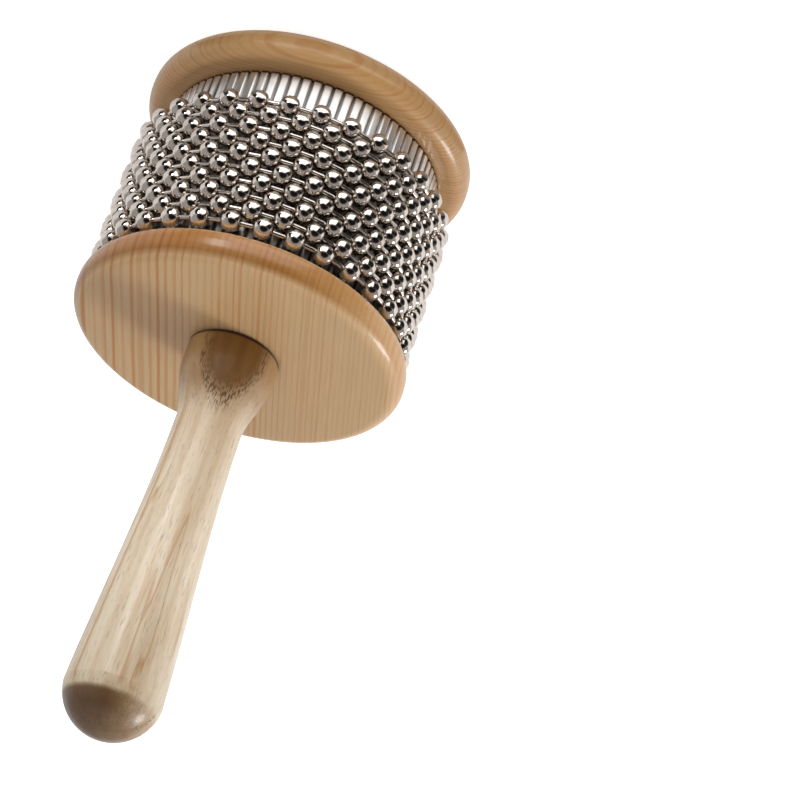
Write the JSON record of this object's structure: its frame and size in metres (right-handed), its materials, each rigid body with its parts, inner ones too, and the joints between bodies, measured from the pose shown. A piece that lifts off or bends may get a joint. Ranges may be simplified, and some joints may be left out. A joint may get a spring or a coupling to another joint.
{
  "type": "cabasa",
  "caption": "Cabasa: a fluted steel drum between two round wooden discs, wrapped in loose loops of steel ball chain that turn round it, on a turned wooden handle.",
  "frame": {"origin": "centre of the end disc's outer face, on which the cabasa stands on its head", "axes": "+Z along the drum's axis towards the handle's end, +X close to a bead of the first loop"},
  "size_m": [0.1, 0.1, 0.2079],
  "materials": {
    "disc_wood": "pale straight-grained softwood, satin lacquer",
    "handle_wood": "pale open-pored hardwood, satin lacquer",
    "core_wood": "raw wood",
    "fluted_steel": "bright rolled sheet",
    "chain_nickel": "polished nickel plate",
    "bolt_steel": "zinc plate",
    "insert_brass": "turned brass"
  },
  "bodies": {
    "drum": {"end_disc": "disc_wood", "handle_disc": "disc_wood", "core_tube": "core_wood", "fluted_sleeve": "fluted_steel", "sleeve_tacks": "bolt_steel", "handle": "handle_wood", "tie_bolt": "bolt_steel", "bolt_washer": "bolt_steel", "handle_insert": "insert_brass"},
    "chain": {"chain_loop_01_beads": "chain_nickel", "chain_loop_02_beads": "chain_nickel", "chain_loop_03_beads": "chain_nickel", "chain_loop_04_beads": "chain_nickel", "chain_loop_05_beads": "chain_nickel", "chain_loop_06_beads": "chain_nickel", "chain_loop_07_beads": "chain_nickel", "chain_loop_08_beads": "chain_nickel", "chain_loop_09_beads": "chain_nickel", "chain_loop_10_beads": "chain_nickel", "chain_loop_01_links": "chain_nickel", "chain_loop_02_links": "chain_nickel", "chain_loop_03_links": "chain_nickel", "chain_loop_04_links": "chain_nickel", "chain_loop_05_links": "chain_nickel", "chain_loop_06_links": "chain_nickel", "chain_loop_07_links": "chain_nickel", "chain_loop_08_links": "chain_nickel", "chain_loop_09_links": "chain_nickel", "chain_loop_10_links": "chain_nickel"}
  },
  "joints": [
    {"name": "chain_turn", "type": "hinge", "parent": "drum", "child": "chain", "pos_m": [0, 0, 0.0462], "axis": [0, 0, 1], "continuous": true}
  ]
}
